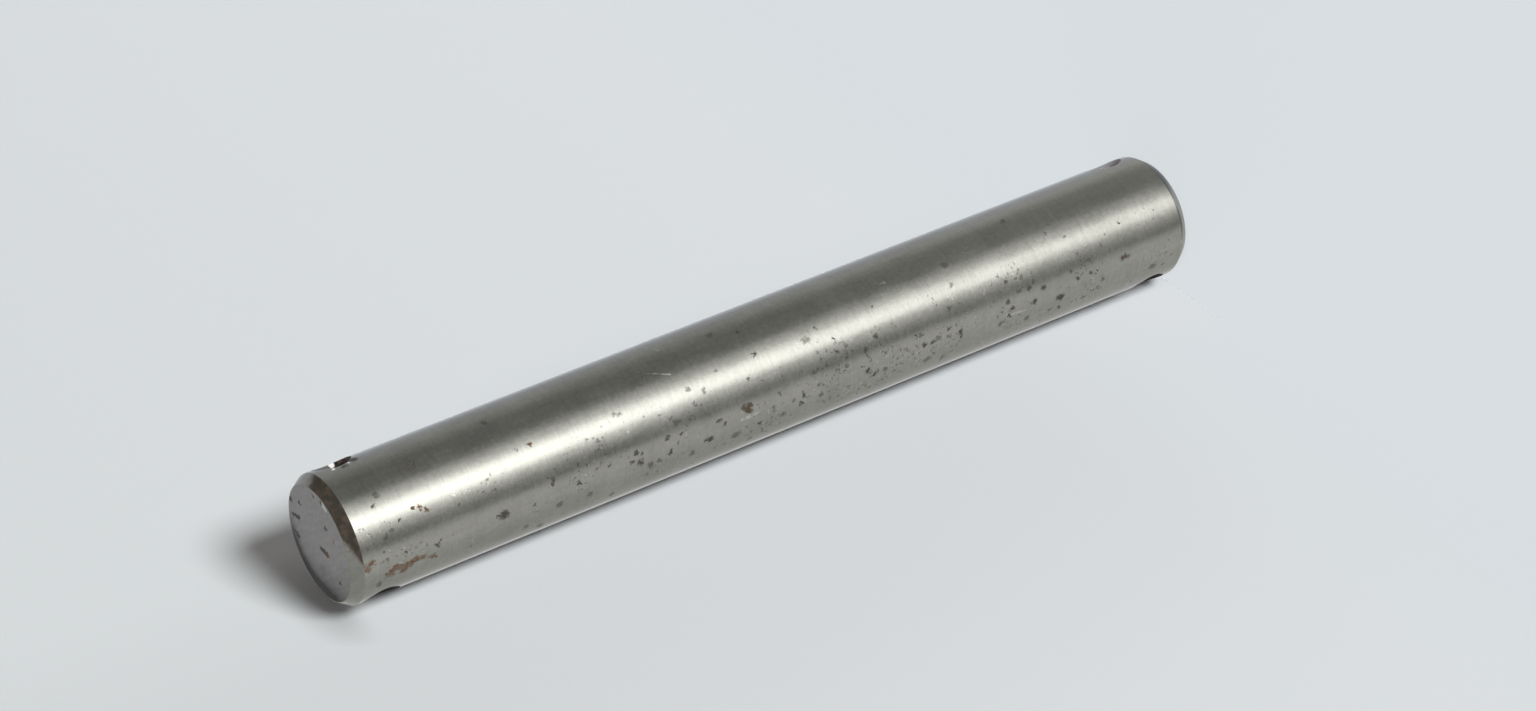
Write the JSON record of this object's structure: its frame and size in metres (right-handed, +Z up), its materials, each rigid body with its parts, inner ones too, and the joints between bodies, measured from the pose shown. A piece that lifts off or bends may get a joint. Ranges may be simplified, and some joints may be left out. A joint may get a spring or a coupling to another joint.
{
  "type": "latch pin",
  "caption": "Straight headless steel latch pin with chamfered ends and a cross hole for a split pin or spring clip near each end.",
  "frame": {"origin": "centre of the lower end face, on which the pin stands", "axes": "+Z up along the pin's axis, +X along both cross holes"},
  "size_m": [0.012, 0.012, 0.091],
  "materials": {
    "ground_steel": "round-ground bare steel, with fine pits and light rust"
  },
  "bodies": {
    "root": {"latch_pin": "ground_steel"}
  },
  "joints": []
}
